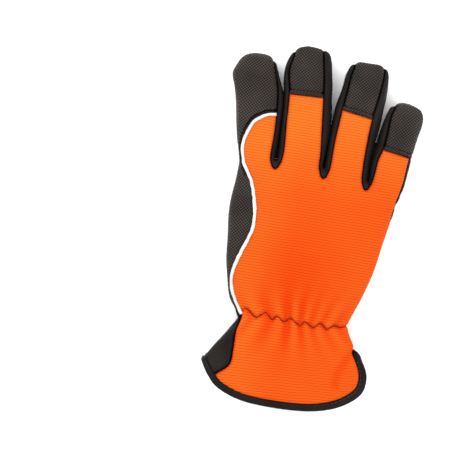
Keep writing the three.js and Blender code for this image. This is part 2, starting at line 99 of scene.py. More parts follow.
FINGERS = {
    "index": table(
        "y left right rise drop",
        (28, -47.5, -24.0, 10.0, 4.5), (42, -49.4, -24.3, 12.4, 9.0), (57, -53.4, -24.1, 11.6, 12.5),
        (75, -56.6, -24.6, 11.0, 13.5), (90, -59.8, -25.9, 10.4, 13.8), (100.5, -62.4, -30.2, 9.6, 12.4),
        (106.5, -60.4, -32.4, 8.6, 11.4), (112, -57.2, -35.0, 7.2, 10.4), (115.0, -53.4, -37.8, 5.0, 9.0),
        (116.4, -49.6, -40.6, 2.4, 6.0),
    ),
    "middle": table(
        "y left right rise drop",
        (28, -22.4, 8.0, 10.0, 4.0), (42, -24.1, 8.9, 12.4, 6.2), (57, -24.2, 9.5, 11.8, 5.0),
        (68, -24.4, 10.0, 11.4, 6.0), (80, -24.4, 9.5, 11.0, 11.0), (92, -25.2, 7.8, 10.6, 14.0),
        (103, -27.0, 6.6, 9.8, 13.0), (112, -26.8, 5.2, 8.8, 11.5), (119, -24.6, 3.6, 7.4, 10.5),
        (123.6, -21.8, 1.6, 5.4, 9.4), (126.0, -18.6, -1.4, 3.4, 7.6), (127.0, -15.2, -4.6, 1.8, 5.0),
    ),
    "ring": table(
        "y left right rise drop",
        (28, 10.8, 38.6, 10.0, 4.0), (42, 9.3, 40.4, 12.0, 6.2), (55, 9.4, 40.7, 11.4, 6.4),
        (66, 9.8, 42.1, 11.0, 10.0), (78, 10.5, 43.2, 10.6, 13.5), (90, 11.7, 43.8, 10.2, 14.0),
        (101, 14.0, 44.8, 9.4, 12.8), (111, 15.4, 44.5, 8.2, 11.4), (117, 17.6, 43.4, 6.4, 10.0),
        (120.4, 20.2, 41.0, 4.2, 8.4), (121.9, 23.5, 38.0, 2.0, 5.6),
    ),
    "little": table(
        "y left right rise drop",
        (22, 44.0, 60.0, 6.0, 6.0), (31, 42.5, 63.6, 9.4, 9.4), (40, 40.6, 65.6, 11.0, 12.0),
        (55, 40.5, 67.4, 10.6, 13.5), (66, 42.0, 68.9, 10.2, 14.5), (76, 44.1, 70.2, 9.8, 14.5),
        (84, 46.1, 71.6, 9.0, 13.6), (90, 48.0, 71.8, 7.6, 12.4), (94.5, 50.2, 69.8, 5.6, 10.6),
        (97, 53.4, 66.0, 3.4, 8.0), (98.2, 56.5, 62.0, 1.6, 5.0),
    ),
}
THUMB = table(
    "y left right top",
    (-60, -11.0, 7.0, 10.4), (-52, -23.0, 11.5, 11.2), (-42, -32.0, 15.2, 12.0), (-30, -40.0, 17.8, 13.4),
    (-18, -42.0, 19.3, 14.6), (-6, -40.0, 20.3, 15.0), (8, -35.5, 21.4, 15.0), (21, -28.6, 22.7, 15.0),
    (33, -24.2, 23.4, 15.0), (43, -20.7, 21.0, 14.6), (50.5, -16.0, 16.4, 13.0), (55, -12.3, 12.0, 10.8),
    (58, -8.5, 7.5, 8.0), (59.5, -4.5, 3.0, 5.0),
)
HEM = table(
    "share x y binding",
    (0.0, -53.4, -99.3, 3.2), (0.07, -47.0, -108.7, 3.6), (0.15, -39.5, -116.0, 4.2),
    (0.28, -23.2, -122.0, 4.8), (0.41, -3.0, -123.8, 5.1), (0.58, 22.9, -122.8, 5.2),
    (0.7, 40.4, -118.6, 5.4), (0.79, 52.6, -111.8, 5.5), (0.86, 59.7, -103.7, 5.5),
    (0.905, 60.8, -95.2, 5.1), (0.945, 57.8, -87.2, 4.0), (1.0, 50.0, -78.0, 1.6),
)

# Seam lines in plan
PIPING_LINE = table(
    "x y",
    (-29.1, 75.7), (-35.2, 74.2), (-42.7, 68.7), (-46.8, 59.6), (-48.2, 50.2), (-45.3, 38.9), (-39.7, 30.0),
    (-35.4, 18.2), (-32.6, 4.0), (-33.6, -8.0), (-38.6, -22.9), (-41.6, -36.5), (-39.9, -48.2),
    (-35.8, -56.0), (-31.1, -63.6),
)
CUFF_EDGE = table(
    "x y", (-30.8, -65.7), (-32.8, -75.0), (-32.8, -88.0), (-33.6, -99.0), (-41.1, -106.4), (-56.0, -118.0)
)
FOURCHETTES = {
    "index_middle": table(
        "x y",
        (-37.0, 119.0), (-35.4, 112.0), (-30.5, 95.8), (-28.6, 80.7), (-27.8, 61.3), (-28.1, 48.0),
        (-27.4, 42.6), (-25.9, 39.2), (-24.0, 38.2), (-22.2, 39.8), (-20.9, 43.6), (-20.2, 49.0),
        (-20.3, 57.0), (-21.4, 73.5), (-22.2, 92.5), (-24.8, 108.0), (-22.6, 121.0), (-24.0, 127.0),
    ),
    "middle_ring": table(
        "x y",
        (-3.4, 129.0), (-2.3, 122.0), (0.5, 104.9), (1.9, 91.1), (3.9, 69.8), (5.6, 54.0), (6.0, 44.5),
        (7.0, 39.2), (8.8, 36.8), (10.8, 37.4), (12.3, 40.8), (13.1, 48.2), (13.5, 62.6), (14.6, 75.7),
        (15.9, 89.1), (18.4, 112.0), (20.0, 118.5), (18.6, 126.0),
    ),
    "ring_little": table(
        "x y",
        (40.0, 124.5), (41.4, 116.0), (39.6, 99.0), (37.6, 87.0), (36.4, 74.2), (35.7, 58.7), (35.7, 45.0),
        (36.6, 37.4), (38.4, 33.8), (40.6, 33.8), (42.4, 37.6), (43.7, 45.0), (44.9, 55.6), (47.2, 63.6),
        (48.4, 74.0), (49.6, 88.0), (51.6, 94.0), (50.0, 101.0), (48.5, 116.0), (44.5, 125.0),
    ),
}
# Where the leather shows as a narrow edge along the little-finger side
LITTLE_SIDE = table(
    "x y", (60.0, 6.0), (60.6, 19.5), (62.6, 31.0), (64.8, 42.6), (65.8, 53.9), (66.6, 60.6)
)
KNIT_TOPS = table(
    "left left_y right right_y",
    (-24.2, 91.4, 5.0, 92.7), (12.0, 86.8, 40.0, 82.4), (44.0, 63.7, 66.6, 60.1),
)
CAP_SPANS = {
    "middle": {"left": -26.0, "right": 9.6, "y": 86, "row": 0, "stitched": (-21.6, 0.6)},
    "ring": {"left": 9.8, "right": 44.6, "y": 78, "row": 1, "stitched": (15.9, 37.0)},
    "little": {"left": 43.5, "right": 76, "y": 61.2, "row": 2, "stitched": (47.9, 66.6)},
}
THUMB_OVAL = table(
    "x y",
    (-5.1, 54.6), (4.3, 52.8), (12.7, 48.6), (17.6, 42.4), (19.6, 32.0), (18.1, 14.3), (16.7, -3.4),
    (15.2, -19.5), (12.4, -37.0), (9.2, -49.0), (4.9, -56.4), (0.7, -58.1), (-36.3, -12.3),
    (-35.2, -4.0), (-31.8, 3.0), (-24.8, 20.8), (-17.2, 42.6), (-12.2, 50.4),
)
# Thread of the wrist elastic, which zigzags from fold to fold
GATHER_LINE = table(
    "x y",
    (-31.5, -62.0), (-28.6, -59.2), (-20.5, -64.4), (-14.5, -59.9), (-9.5, -64.2), (-6.7, -61.1),
    (-1.1, -64.2), (3.1, -61.3), (10.1, -65.2), (13.0, -62.0), (19.4, -65.2), (23.9, -61.4),
    (28.7, -64.9), (33.5, -61.6), (38.0, -62.4), (41.5, -60.6),
)
# Crease of the cuff's turned lip, from the notch on the little-finger side
LIP_CREASE = table("x y", (49.5, -76.5), (46.0, -83.0), (42.6, -89.5), (40.6, -95.5), (40.0, -102.0))


def linear(colour):
    """Linear value of an sRGB hex colour."""
    parts = [(colour >> shift & 255) / 255 for shift in (16, 8, 0)]
    return [c / 12.92 if c <= 0.04045 else ((c + 0.055) / 1.055) ** 2.4 for c in parts]


def length_property(name, description, millimetres):
    return FloatProperty(
        name=name, description=description, default=millimetres / 1000, min=0, unit="LENGTH", subtype="DISTANCE"
    )


def colour_property(name, description, colour):
    return FloatVectorProperty(
        name=name, description=description, default=linear(colour), subtype="COLOR", min=0, max=1
    )


class GloveSizes(bpy.types.PropertyGroup):
    """Sizes of the sewn pieces."""

    wall: length_property("Wall", "Thickness of knit or leather with its lining", 2.5)
    gather_height: length_property("Gather height", "Half height of the folds at the wrist", 1.35)
    seam_depth: length_property("Seam depth", "How far the edges of a panel turn down into a seam", 0.8)
    seam_width: length_property("Seam width", "Distance from a seam over which a panel rounds off", 1.3)
    strip_width: length_property("Strip width", "Width of the folded strips beside piping and cap edges", 3.0)
    piping_radius: length_property("Piping radius", "Radius of the reflective piping", 1.15)
    binding_swell: length_property("Binding swell", "How far the hem binding stands proud of the cuff", 1.2)
    stitch_pitch: length_property("Stitch pitch", "Distance from one stitch to the next", 3.0)
    rib_pitch: length_property("Rib pitch", "Distance from one rib of the knit to the next", 1.85)
    emboss_pitch: length_property("Emboss pitch", "Size of the diamonds pressed into the leather", 1.5)


class GloveColours(bpy.types.PropertyGroup):
    """Colours of the cloth, leather and trim."""

    knit: colour_property("Knit", "High-visibility orange of the back", 0xC0420A)
    # Painted sheen: the lighter orange over the fingers and the thumb's side stands in for light on the knit;
    # it also gives random mottling
    knit_mottle_and_sheen: colour_property("Knit sheen and mottle", "Lighter orange where the knit is stretched", 0xC0621E)
    # Painted shade: the deeper orange in the gathers' folds, the creases and the middle of the back
    knit_fold_shade: colour_property("Knit fold shade", "Deeper orange where the knit is gathered", 0xBC3000)
    leather: colour_property("Leather", "Palm and tip caps", 0x1B1613)
    # A darker copy of the palm leather, as painted shade on the walls between the fingers
    side_leather_shaded: colour_property("Side leather", "Plain leather between the fingers", 0x120E0C)
    piping: colour_property("Piping", "Reflective piping", 0xC4C0BF)
    binding: colour_property("Binding", "Hem binding", 0x0D0B0A)
    lining: colour_property("Lining", "Brushed lining inside the glove", 0x2A2826)
    thread: colour_property("Thread", "Topstitching on leather", 0x2A2725)
    gather_thread: colour_property("Gather thread", "Thread over the wrist elastic", 0x400A00)


# ---------------------------------------------------------------- the soft form


def lookup(rows, key, at):
    """Smooth values of every column of a table at stations of its key column."""
    knots = rows[key]
    rising = 1 if knots[-1] > knots[0] else -1
    at = np.asarray(at, dtype=float)
    last = len(knots) - 1
    i = np.clip(np.searchsorted(knots * rising, at * rising, side="right") - 1, 0, last - 1)
    before, after = np.maximum(i - 1, 0), np.minimum(i + 2, last)
    span = knots[i + 1] - knots[i]
    t = np.clip((at - knots[i]) / span, 0, 1)
    result = {}
    for name, column in rows.items():
        a, b = column[i], column[i + 1]
        slope_a = (b - column[before]) / (knots[i + 1] - knots[before]) * span
        slope_b = (column[after] - a) / (knots[after] - knots[i]) * span
        result[name] = (
            (2 * t**3 - 3 * t**2 + 1) * a
            + (t**3 - 2 * t**2 + t) * slope_a
            + (3 * t**2 - 2 * t**3) * b
            + (t**3 - t**2) * slope_b
        )
    return result


def millimetres(name):
    """A size of the panel in millimetres."""
    return getattr(bpy.context.scene.glove_sizes, name) * 1000


def ramp(t):
    """Smooth rise from 0 to 1 while t goes from 0 to 1."""
    t = np.clip(t, 0, 1)
    return t * t * (3 - 2 * t)


def hump(distance, width):
    """Bell of height 1 that fades over a width."""
    return np.exp(-((distance / width) ** 2))


def fullness(share):
    """Height of a section across its width: 0 at the side seams and 1 in the middle."""
    return np.maximum(1 - np.abs(2 * share - 1) ** SECTION_POWER, 0) ** (1 / SECTION_POWER)


def underside(x, y, low):
    """Height of the palm's underside: low where it is free, and raised over the folded thumb."""
    thumb = lookup(THUMB, "y", np.clip(y, THUMB["y"][0], THUMB["y"][-1]))
    past = (x - THUMB_SEAM["x"]) * THUMB_SEAM["normal_x"] + (y - THUMB_SEAM["y"]) * THUMB_SEAM["normal_y"]
    over = (
        ramp(past / DRAPE["diagonal"])
        * ramp((x - thumb["left"] + DRAPE["margin"] + DRAPE["radial"]) / DRAPE["radial"])
        * ramp((thumb["right"] + DRAPE["margin"] + DRAPE["ulnar"] - x) / DRAPE["ulnar"])
        * ramp((THUMB["y"][-1] + 2 * DRAPE["tip"] - y) / DRAPE["tip"])
        * ramp((y - THUMB["y"][0]) / DRAPE["wrist"])
    )
    top = np.where(y > 0, np.maximum(thumb["top"], DRAPE["level"]), thumb["top"])
    return low + (top + THUMB_CLEARANCE - low) * over


def gather(share, distance):
    """Raised folds at the wrist elastic: they fan out and fade away from it, and no two are alike."""
    height = millimetres("gather_height")
    fanned = 0.5 + (share - 0.5) * (1 - RIDGES["fan"] * np.minimum(np.abs(distance), 40))
    turns = RIDGES["count"] * (fanned - RIDGES["start"]) + RIDGES["swing"] * np.sin(8.8 * fanned + 0.6)
    uneven = 1 - RIDGES["uneven"] + RIDGES["uneven"] * np.sin(13 * fanned + 2)
    envelope = height * hump(distance, RIDGES["reach"]) * fullness(share) ** 2
    return envelope * uneven * np.cos(2 * math.pi * turns)


def on_section(x, y, share, side, fold, draped):
    """A point of a section, over or under its side seams."""
    height = lookup(HEIGHTS, "y", y)
    full = fullness(share)
    low = underside(x, y, height["low"]) if draped else height["low"]
    over = height["seam"] + (height["top"] - height["seam"]) * full + fold
    under = height["seam"] - (height["seam"] - low) * full - fold * RIDGES["under"]
    return np.stack([x, y, np.where(side > 0, over, np.maximum(under, FLOOR_CLEARANCE))], axis=-1)


def hand_point(station, slant, share, side):
    """A point of the hand at a station that may slant across it."""
    y = station + slant * (2 * share - 1)
    left = lookup(HAND, "y", station - slant)["left"]
    right = lookup(HAND, "y", station + slant)["right"]
    x = left + (right - left) * share
    return on_section(x, y, share, side, gather(share, station - WAIST["station"]), True)


def cuff_point(share, side, t=None, back=0.0):
    """A point of the cuff, by its share t of the way from the waist or its distance back from the hem."""
    waist = hand_point(WAIST["station"], WAIST["slant"], share, side)
    hem = lookup(HEM, "share", share)
    length = np.hypot(hem["x"] - waist[..., 0], hem["y"] - waist[..., 1])
    if t is None:
        t = 1 - back / length
    x = waist[..., 0] + (hem["x"] - waist[..., 0]) * t
    y = waist[..., 1] + (hem["y"] - waist[..., 1]) * t
    return on_section(x, y, share, side, gather(share, t * length), False)


def around_ring(u):
    """Share of the width and side of the points round a section, closer together at the side seams."""
    q = np.where(u <= 0.5, 2 * u, 2 - 2 * u)
    share = 0.15 * q + 0.85 * (0.5 - 0.5 * np.cos(math.pi * q))
    return share, np.where(u <= 0.5, 1, -1)


def coordinates(bm):
    return np.array([v.co for v in bm.verts])


def move(bm, points):
    for vertex, point in zip(bm.verts, points):
        vertex.co = point


def unit(vectors):
    return vectors / np.linalg.norm(vectors, axis=1)[:, None]


def tree_of(points):
    """A search tree over points."""
    tree = KDTree(len(points))
    for i, point in enumerate(points):
        tree.insert(point, i)
    tree.balance()
    return tree


def tube(around, rows, place, shut=True, mouth=False):
    """A tube from a grid that is rolled up: place gives the points of its columns and rows."""
    bm = bmesh.new()
    bmesh.ops.create_grid(bm, x_segments=around, y_segments=rows - 1, size=0.5)
    flat = coordinates(bm)
    column = np.rint((flat[:, 0] + 0.5) * around).astype(int)
    row = np.rint((flat[:, 1] + 0.5) * (rows - 1)).astype(int)
    move(bm, place(column / around, row))
    if shut:
        at = dict(zip(zip(column, row), bm.verts))
        for end in (0, rows - 1):
            for i in range(around // 2):
                corners = [at[i, end], at[i + 1, end], at[around - i - 1, end], at[around - i, end]]
                face = bm.faces.new(dict.fromkeys(corners))
                face.material_index = int(mouth and end > 0)
    bmesh.ops.remove_doubles(bm, verts=bm.verts, dist=1e-4)
    bmesh.ops.recalc_face_normals(bm, faces=bm.faces)
    return bm


# Rounding of a shut end: how much of the section is left, and how far the end has gone
NOSE = table("keep ahead", (0.96, 0.3), (0.85, 0.58), (0.68, 0.8), (0.46, 0.94), (0.22, 1.0))


def hand_tube():
    """Hand and cuff from the knuckles to the hem."""
    shut = len(NOSE["keep"])
    # Sections lie closer together where the wrist is gathered
    stations = np.concatenate([
        np.full(shut, KNUCKLES["y"]),
        np.arange(KNUCKLES["y"], -50, -1.35),
        np.arange(-50, WAIST["station"], -0.9),
    ])
    keep = np.concatenate([NOSE["keep"][::-1], np.ones(len(stations) - shut)])
    ahead = np.concatenate([NOSE["ahead"][::-1] * KNUCKLES["reach"], np.zeros(len(stations) - shut)])
    travel = np.concatenate([np.linspace(0, 0.34, 24), np.linspace(0.36, 1, 34)])
    rows = len(stations) + len(travel)

    def place(u, row):
        share, side = around_ring(u)
        k = np.minimum(row, len(stations) - 1)
        station = stations[k]
        slant = WAIST["slant"] * ramp((-station - 20) / 40)
        point = hand_point(station, slant, share, side)
        seam = lookup(HEIGHTS, "y", point[:, 1])["seam"]
        point[:, 2] = seam + (point[:, 2] - seam) * keep[k]
        knuckle = KNUCKLES["bend"] * np.maximum(point[:, 0], 0) ** 2 * ramp((station - 30) / 11)
        point[:, 1] += ahead[k] - knuckle
        t = travel[np.maximum(row - len(stations), 0)]
        cuff = cuff_point(share, side, t)
        return np.where((row >= len(stations))[:, None], cuff, point)

    return tube(AROUND["hand"], rows, place, mouth=True)


def finger_tube(rows, seam_of, around):
    """A finger or the thumb with its shut round tip."""
    root, tip = rows["y"][0], rows["y"][-1]
    count = int((tip - root) / 1.3)
    straight = root + (tip - root) * np.linspace(0, 1, count) ** 0.92
    stations = np.concatenate([straight, np.full(len(NOSE["keep"]), tip)])
    keep = np.concatenate([np.ones(count), NOSE["keep"]])
    ahead = np.concatenate([np.zeros(count), NOSE["ahead"] * 0.3])

    def place(u, row):
        share, side = around_ring(u)
        size = lookup(rows, "y", stations[row])
        seam, rise, drop = seam_of(size)
        middle = (size["left"] + size["right"]) / 2
        wide = size["right"] - size["left"] + SEAM_ALLOWANCE * ramp((size["y"] - 75) / 25)
        x = middle + wide * (share - 0.5) * keep[row]
        z = seam + np.where(side > 0, rise, -drop) * fullness(share) * keep[row]
        return np.stack([x, stations[row] + ahead[row], np.maximum(z, 0)], axis=-1)

    return tube(around, len(stations), place)


def solid(bm, cutter=False):
    """A scratch object from a bmesh; faces that are cut or open are marked by the second material slot."""
    mesh = bpy.data.meshes.new("form")
    if cutter:
        for face in bm.faces:
            face.material_index = 1
    bm.to_mesh(mesh)
    bm.free()
    for _ in range(2):
        mesh.materials.append(None)
    obj = bpy.data.objects.new("form", mesh)
    bpy.context.scene.collection.objects.link(obj)
    return obj


def combined(obj, other, operation):
    """Joins, cuts or intersects two solids, and removes the second."""
    modifier = obj.modifiers.new("Boolean", "BOOLEAN")
    modifier.operation = operation
    modifier.solver = "MANIFOLD"
    modifier.object = other
    mesh = bpy.data.meshes.new_from_object(obj.evaluated_get(bpy.context.evaluated_depsgraph_get()))
    old = obj.data
    obj.modifiers.clear()
    obj.data = mesh
    bpy.data.meshes.remove(old)
    bpy.data.objects.remove(other)
    if not obj.data.polygons:
        raise RuntimeError(f"{obj.name}: nothing is left after {operation}")
    return obj


def plan_distance(points, line):
    """Distance in plan from points to a line of a table."""
    x, y = line["x"], line["y"]
    best = np.full(len(points), 1e9)
    for i in range(len(x) - 1):
        step = np.array([x[i + 1] - x[i], y[i + 1] - y[i]])
        start = points[:, :2] - (x[i], y[i])
        t = np.clip(start @ step / (step @ step), 0, 1)
        best = np.minimum(best, np.hypot(*(start - t[:, None] * step).T))
    return best


def over_seams(points):
    """1 on the upper side of the form, and 0 from its side seams down."""
    return ramp((points[:, 2] - lookup(HEIGHTS, "y", points[:, 1])["seam"]) / 4)


def dents(points):
    """How far soft dents, folds and creases move the form outwards."""
    top = over_seams(points)
    resting = ramp((points[:, 2] - 0.3) / 4) * ramp((plan_distance(points, HEM) - 5) / 8)
    slow = np.array([noise.noise(Vector(p) / DENTS["slow_size"]) for p in points])
    size, length = DENTS["wrinkle_size"], DENTS["wrinkle_length"]
    wrinkles = np.array([noise.noise(Vector((x / size + 7, y / length, z / size))) for x, y, z in points])
    leather = np.maximum(1 - top, 0.9 * ramp((points[:, 1] - 66) / 12))
    result = (DENTS["slow"] * slow + DENTS["wrinkle"] * wrinkles * leather) * resting
    thread_distance = plan_distance(points, GATHER_LINE)
    result += top * (0.5 * hump(thread_distance - 2.6, 1.6) - 1.25 * hump(thread_distance, 0.95))
    crease = plan_distance(points, LIP_CREASE)
    return result + top * (0.6 * hump(crease - 5, 3) - 0.8 * hump(crease, 2.4))


def square_to(bm):
    """Directions square to the cloth, by the area of the faces, so that slivers along a cut don't turn them."""
    bm.normal_update()
    own = {v: sum((f.normal * f.calc_area() for f in v.link_faces), Vector()) for v in bm.verts}
    return {v: sum((own[e.other_vert(v)] for e in v.link_edges), 2 * own[v]).normalized() for v in own}


def finger_seam(size):
    return lookup(HEIGHTS, "y", size["y"])["seam"], size["rise"], size["drop"]


def thumb_seam(size):
    return size["top"] / 2, size["top"] / 2, size["top"] / 2 + 1.2


def soften(bm, verts, times, factor):
    for _ in range(times):
        bmesh.ops.smooth_vert(
            bm, verts=verts, factor=factor, use_axis_x=True, use_axis_y=True, use_axis_z=True
        )


@functools.cache
def glove_form():
    """The glove's outer form: hand, cuff, four fingers and the folded thumb, softened where they meet."""
    form = solid(hand_tube())
    for rows in FINGERS.values():
        combined(form, solid(finger_tube(rows, finger_seam, AROUND["finger"])), "UNION")
    combined(form, solid(finger_tube(THUMB, thumb_seam, AROUND["thumb"])), "UNION")
    bm = bmesh.new()
    bm.from_mesh(form.data)
    bmesh.ops.remove_doubles(bm, verts=bm.verts, dist=0.05)
    roots = [v for v in bm.verts if 24 < v.co.y < 52 and v.co.z > 0.5]
    soften(bm, roots, 10, 0.5)
    # Where the little finger leaves the hand at a shallow angle, the join needs more softening
    soften(bm, [v for v in roots if v.co.y < 36 and v.co.x > 56], 60, 0.5)
    soften(bm, [v for v in bm.verts if v.co.z > 0.5], 2, 0.4)
    points = coordinates(bm)
    normals = np.array(list(square_to(bm).values()))
    move(bm, points + normals * dents(points)[:, None])
    bm.to_mesh(form.data)
    bmesh.ops.delete(bm, geom=[f for f in bm.faces if f.material_index == 1], context="FACES")
    normals = list(square_to(bm).values())
    normal_tree = tree_of([v.co for v in bm.verts])
    surface = BVHTree.FromBMesh(bm)
    bm.free()
    form.hide_render = True
    return form, normal_tree, normals, surface


# ---------------------------------------------------------------- cutting the panels


def smooth_line(line, spacing=1.5):
    """Evenly spaced points of a smooth curve through the rows of a line."""
    points = np.stack([line["x"], line["y"]], axis=1)
    reach = np.concatenate([[0], np.cumsum(np.hypot(*np.diff(points, axis=0).T))])
    rows = {"reach": reach, "x": line["x"], "y": line["y"]}
    at = lookup(rows, "reach", np.linspace(0, reach[-1], max(int(reach[-1] / spacing), 4)))
    return np.stack([at["x"], at["y"]], axis=1)


def slab(outline, low=CUT_LOW, high=CUT_HIGH, turn=None):
    """A cutter over an outline in plan, or turned to another plane."""
    bm = bmesh.new()
    face = bm.faces.new([bm.verts.new((x, y, low)) for x, y in outline])
    risen = bmesh.ops.extrude_face_region(bm, geom=[face])["geom"]
    verts = [v for v in risen if isinstance(v, bmesh.types.BMVert)]
    bmesh.ops.translate(bm, verts=verts, vec=(0, 0, high - low))
    bmesh.ops.holes_fill(bm, edges=bm.edges)
    bmesh.ops.triangulate(bm, faces=bm.faces)
    if turn:
        bmesh.ops.transform(bm, matrix=turn, verts=bm.verts)
    bmesh.ops.recalc_face_normals(bm, faces=bm.faces)
    return solid(bm, cutter=True)


def layer(heights, far):
    """A cutter between a height that changes along the glove and a far level."""
    outline = [*heights, (heights[-1][0], far), (heights[0][0], far)]
    turn = Matrix(((0, 0, 1, 0), (1, 0, 0, 0), (0, 1, 0, 0), (0, 0, 0, 1)))
    return slab(outline, -100, 100, turn)


def above_seams(outline):
    """The space over an outline in plan and above the side seams."""
    stations = np.linspace(HEIGHTS["y"][0] - 4, HEIGHTS["y"][-1] + 4, 90)
    heights = lookup(HEIGHTS, "y", stations)["seam"]
    return combined(slab(outline), layer(list(zip(stations, heights)), CUT_HIGH), "INTERSECT")


def knit_space():
    """The space over the knit back."""
    edge = {k: np.concatenate([PIPING_LINE[k], CUFF_EDGE[k]]) for k in "xy"}
    outline = [(-24.2, 75.7), *smooth_line(edge), (-56, -134), (78, -134), (78, 2), *smooth_line(LITTLE_SIDE)]
    for row in (2, 1, 0):
        for side in ("right", "left"):
            outline.append((KNIT_TOPS[side][row], KNIT_TOPS[side + "_y"][row]))
    return above_seams(outline)


def cap_space(span):
    """The space over a fingertip, beyond the knit."""
    left, right, y = span["left"], span["right"], span["y"]
    return above_seams([(left, y), (right, y), (right + 2, 134), (left - 2, 134)])


def hem_edge(back=0.0):
    """Plan of the hem binding's inner edge, or of a line a little way back from it."""
    hem = lookup(HEM, "share", np.linspace(0, 1, 90))
    rim = np.stack([hem["x"], hem["y"]], axis=1)
    along = unit(np.gradient(rim, axis=0))
    inwards = np.stack([-along[:, 1], along[:, 0]], axis=1)
    return rim + inwards * np.maximum(hem["binding"] + back, 0.3)[:, None]


def hem_space(back=0.0):
    """The space outside the hem binding's inner edge, or outside a line a little way back from it."""
    edge = hem_edge(back)
    start = HEM["y"][-1] + HEM["binding"][-1]
    outside = [(edge[-1][0], start), (90, start), (90, -140), (-90, -140), (-90, edge[0][1])]
    return slab([*map(tuple, edge), *outside], -20)


def fourchette_space(name):
    return slab(smooth_line(FOURCHETTES[name]))


def fourchette_spaces():
    return [fourchette_space(name) for name in FOURCHETTES]


def oval_space():
    """The space under the knit oval of the thumb."""
    closed = {k: np.append(v, v[0]) for k, v in THUMB_OVAL.items()}
    return slab(smooth_line(closed)[:-1], high=THUMB_SPLIT)


def thumb_space():
    """The space around the thumb on its own side of the seam, under the palm."""
    far = 90
    start = np.array([THUMB_SEAM["x"], THUMB_SEAM["y"]])
    along = far * np.array([THUMB_SEAM["normal_y"], -THUMB_SEAM["normal_x"]])
    space = slab([start - along, start + along, start + along + far, start - along + far])
    free = THUMB["y"] <= 40
    heights = [(-70, 4.8), *zip(THUMB["y"][free], THUMB["top"][free] + THUMB_CLEARANCE / 2), (75, 15.8)]
    combined(space, layer(heights, CUT_LOW), "INTERSECT")
    right = list(zip(THUMB["right"] + 2, THUMB["y"]))
    left = list(zip(THUMB["left"] - 2, THUMB["y"]))[::-1]
    return combined(space, slab([*right, (0, 64), *left, (0, -64)]), "INTERSECT")


def under_hand():
    """The spaces of both thumb panels."""
    return [thumb_space(), oval_space()]


def cut_panel(name, take=(), leave=()):
    """A panel of the glove's form: within some spaces and outside others, without the cut faces."""
    form = glove_form()[0]
    obj = form.copy()
    obj.data = form.data.copy()
    obj.name = name
    obj.hide_render = False
    bpy.context.scene.collection.objects.link(obj)
    for space in take:
        combined(obj, space, "INTERSECT")
    for space in leave:
        combined(obj, space, "DIFFERENCE")
    bm = bmesh.new()
    bm.from_mesh(obj.data)
    bmesh.ops.delete(bm, geom=[f for f in bm.faces if f.material_index == 1], context="FACES")
    bmesh.ops.remove_doubles(bm, verts=bm.verts, dist=0.15)
    bmesh.ops.dissolve_degenerate(bm, edges=bm.edges, dist=0.05)
    loose = [v for v in bm.verts if not v.link_faces]
    bmesh.ops.delete(bm, geom=loose, context="VERTS")
    bm.verts.index_update()
    return obj, bm


def edge_distance(bm, reach=6.0):
    """Distance of every vertex from the panel's sewn edges."""
    ends = [[v.co for v in e.verts] for e in bm.edges if e.is_boundary]
    tree = tree_of([a.lerp(b, t) for a, b in ends for t in (0.0, 1 / 3, 2 / 3)])
    return np.array([min(tree.find(v.co)[2], reach) for v in bm.verts])


def outward_at(points):
    """Directions square to the form's outer face."""
    _, tree, normals, _ = glove_form()
    result = []
    for point in points:
        near = tree.find_n(point, 4)
        result.append(sum((normals[i] for _, i, _ in near), Vector()).normalized())
    return np.array(result)


def thicken(bm, depth):
    """Gives a panel its lining face and closes the rim between the two."""
    square = square_to(bm)
    rim = [e.link_loops[0] for e in bm.edges if e.is_boundary]
    ends = [(corner.vert, corner.link_loop_next.vert) for corner in rim]
    copy = bmesh.ops.duplicate(bm, geom=[*bm.verts, *bm.edges, *bm.faces])
    inner = copy["vert_map"]
    lining_faces = [f for f in copy["geom"] if isinstance(f, bmesh.types.BMFace)]
    for vertex, normal in square.items():
        inner[vertex].co = vertex.co - normal * depth
    bmesh.ops.reverse_faces(bm, faces=lining_faces)
    for face in lining_faces:
        face.material_index = 1
    for a, b in ends:
        bm.faces.new((b, a, inner[a], inner[b]))


@functools.cache
def fold_tree():
    """Points of the gathered back, and how deep they lie, for painted shade: -1 on a ridge and 1 in a valley.
    """
    share = np.tile(np.linspace(0.02, 0.98, 160), 60)
    distance = np.repeat(np.linspace(-36, 45, 60), 160)
    hand = hand_point(WAIST["station"] - np.minimum(distance, 0), WAIST["slant"], share, 1)
    hem = lookup(HEM, "share", share)
    length = np.hypot(hem["x"] - hand[:, 0], hem["y"] - hand[:, 1])
    cuff = cuff_point(share, 1, np.clip(distance / length, 0, 1))
    height = millimetres("gather_height")
    return tree_of(np.where((distance < 0)[:, None], hand, cuff)), -gather(share, distance) / height


def fold_shade_at(points):
    """Painted shade: depth in the gathers, the elastic's groove and the lip's crease, and a broad shade over
    the middle of the back.
    """
    tree, depths = fold_tree()
    result = np.zeros(len(points))
    for i in np.flatnonzero(points[:, 1] < -20):
        near = tree.find_n(points[i], 3)
        result[i] = np.mean([depths[k] for _, k, _ in near]) * (near[0][2] < 4)
    grooves = hump(plan_distance(points, GATHER_LINE), 1.0) + 0.5 * hump(plan_distance(points, LIP_CREASE), 3.0)
    across = (points[:, 0] - MIDDLE_SHADE["x"]) / MIDDLE_SHADE["wide"]
    along = (points[:, 1] - MIDDLE_SHADE["y"]) / MIDDLE_SHADE["long"]
    middle_shade = MIDDLE_SHADE["deep"] * hump(np.hypot(across, along), 1)
    return np.clip(result + (grooves + middle_shade) * over_seams(points), -1, 1)


